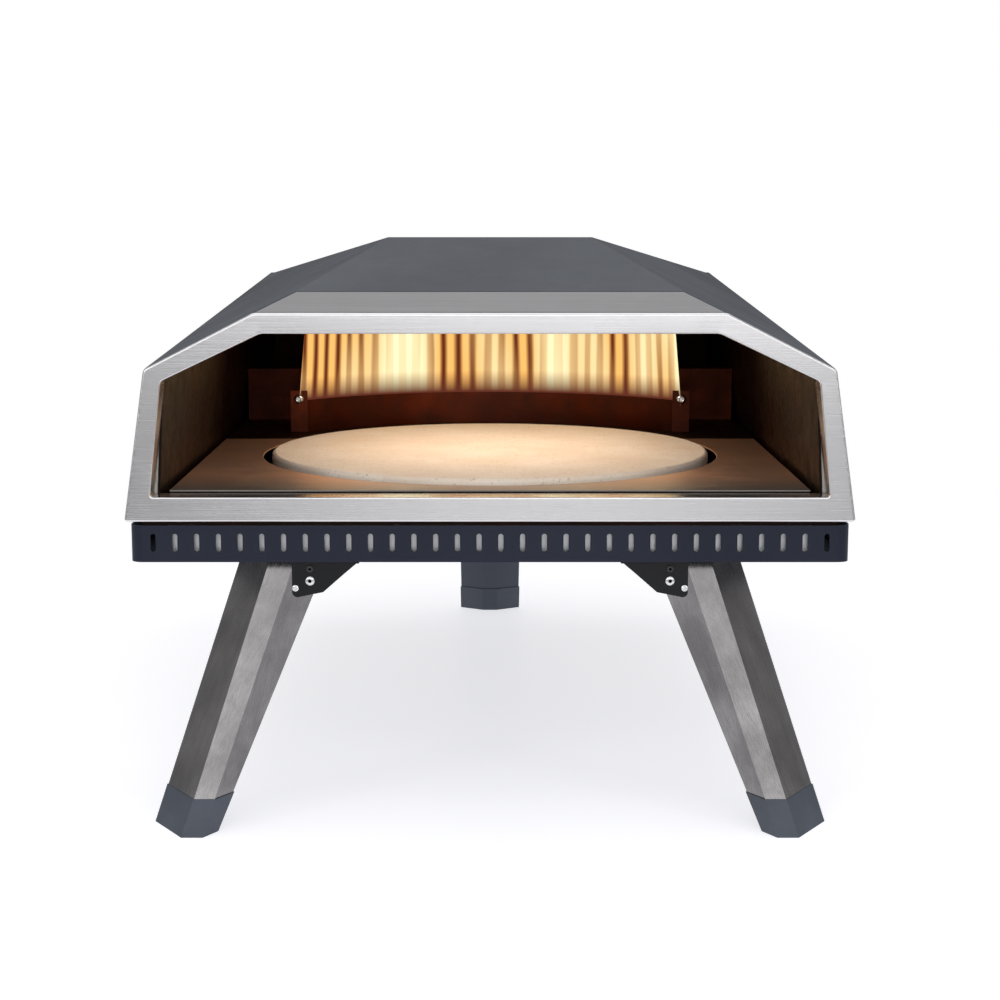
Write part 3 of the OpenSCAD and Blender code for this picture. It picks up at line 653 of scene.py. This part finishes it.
def make_world():
    """A white room to the camera.

    To the object it is a dim room with a bright ceiling and a screen behind the camera.
    """
    world = bpy.data.worlds.new("Studio")
    world.use_nodes = True
    t = Tree(world.node_tree)
    toward = t.node("SeparateXYZ", {0: t.node("TexCoord").outputs["Generated"]}).outputs
    overhead = t.spread(toward[2], 0.25, 0.85, 0.0, 0.55)
    aside = t.math("ABSOLUTE", t.math("SUBTRACT", toward[0], 0.03))
    screen = t.math("ADD", t.math("MULTIPLY", aside, -5.2), t.math("MULTIPLY", toward[2], 2.0))
    screen = t.spread(t.math("ADD", screen, 1.62), 0.1, 1.35, 0.1, 1.35)
    screen = t.math("MULTIPLY", screen, t.spread(toward[2], 0.1, 0.4, 1.0, 0.4))
    ahead = t.math("MULTIPLY", t.spread(t.math("MULTIPLY", toward[1], -1.0), 0.5, 0.85), screen)
    beside = t.spread(t.math("ABSOLUTE", toward[0]), 0.6, 0.88, 0.12, 0.42)
    strength = t.math("MAXIMUM", t.math("ADD", overhead, beside), ahead)
    seen = t.node("LightPath").outputs["Is Camera Ray"]
    strength = t.node("Mix", {0: seen, 2: strength, 3: 1.0}, data_type="FLOAT").outputs[0]
    background = t.nodes["Background"]
    background.inputs["Color"].default_value = (1, 1, 1, 1)
    t.links.new(strength, background.inputs["Strength"])
    bpy.context.scene.world = world


def make_studio():
    make_floor()
    make_world()
    area_light("KeyLight", (-0.9, -2.2, 1.1), (0, -0.1, 0.2), (2.4, 1.6), 14)
    area_light("FillLight", (1.0, -2.2, 1.0), (0, -0.1, 0.2), (2.0, 1.6), 10.5)
    for side in (-1, 1):
        area_light("EdgeLight", (side * 1.5, -1.5, 0.8), (0, -0.3, 0.1), (0.14, 1.4), 3.2)
    area_light("TopLight", (0, 0.2, 2.4), (0, 0, 0.2), (2.6, 2.6), 18)
    bpy.context.scene.view_settings.view_transform = "Standard"


# ------------------------------------------------------------------ the fire, apart from the oven


def flame_finish():
    """Tongues of flame standing side by side: pale at heart, amber and brown between."""
    f = Finish("Flame", Roughness=1.0, Specular_IOR_Level=0.0)
    f.shader.inputs["Base Color"].default_value = (0, 0, 0, 1)
    curtain = f.node("UVMap", uv_map="Flame").outputs[0]
    uv = f.node("SeparateXYZ", {0: curtain}).outputs
    sway = f.noise(f.scaled(curtain, (9, 0.35, 1)), 1.0, 2.0)
    along = f.math("ADD", f.math("MULTIPLY", uv[0], 29.0), f.math("MULTIPLY", sway, 0.9))
    wave = f.math("SINE", f.math("MULTIPLY", along, math.tau))
    tongue = f.spread(wave, -0.95, 0.55)
    breadth = f.noise(f.scaled(curtain, (5.5, 0.25, 1)), 1.0, 1.0)
    full = f.spread(breadth, 0.42, 0.60)
    heart = f.math("MAXIMUM", tongue, f.math("MULTIPLY", full, 0.7))
    between = f.mix(full, (*shade(104, 48, 28), 1), (*shade(232, 176, 100), 1))
    pale = f.mix(full, (*shade(250, 188, 106), 1), (*shade(255, 246, 196), 1))
    tone = f.mix(heart, between, pale)
    rise = f.spread(uv[1], 0.05, 0.26)
    tone = f.mix(rise, (*shade(96, 50, 40), 1), tone)
    f.links.new(tone, f.shader.inputs["Emission Color"])
    f.shader.inputs["Emission Strength"].default_value = 1.15
    return f.material


def make_flames():
    """A curved curtain of flame between the guard and the comb."""
    centre = (Vector(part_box("pizza_stone")[0]) + Vector(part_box("pizza_stone")[1])) / 2
    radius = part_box("flame_guard")[1][1] - centre.y + 2.5 * MM
    half = math.asin(158 * MM / radius)
    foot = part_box("flame_comb")[1][2]
    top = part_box("oven_liner")[1][2] - 45 * MM
    bm = bmesh.new()
    start = centre + Vector((math.sin(half) * radius, math.cos(half) * radius, 0))
    verts = [bm.verts.new((start.x, start.y, z)) for z in (foot, top)]
    edge = bm.edges.new(verts)
    bmesh.ops.spin(
        bm, geom=verts + [edge], cent=centre, axis=(0, 0, 1), dvec=(0, 0, 0), angle=2 * half, steps=48
    )
    for vert in bm.verts:
        if vert.co.z > foot + MM:
            vert.co.x *= 0.95
    layer = bm.loops.layers.uv.new("Flame")
    for face in bm.faces:
        for loop in face.loops:
            away = loop.vert.co - centre
            across = math.atan2(away.x, away.y) / (2 * half) + 0.5
            loop[layer].uv = (across, (away.z - foot + centre.z) / (top - foot))
    mesh = bpy.data.meshes.new("Flames")
    bm.to_mesh(mesh)
    bm.free()
    mesh.materials.append(flame_finish())
    flames = bpy.data.objects.new("Flames", mesh)
    bpy.context.scene.collection.objects.link(flames)


def make_hearth_glow():
    """The warm light that the fire throws down on the stone and the floor plates."""
    stone_low, stone_high = (Vector(c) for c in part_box("pizza_stone"))
    place = (stone_low + stone_high) / 2
    place.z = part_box("oven_liner")[1][2] - 30 * MM
    below = place - Vector((0, 0, 0.1))
    area_light("HearthGlow", place, below, (0.23, 0.20), 0.36, (1.0, 0.80, 0.62))


make_camera()
make_studio()
make_flames()
make_hearth_glow()
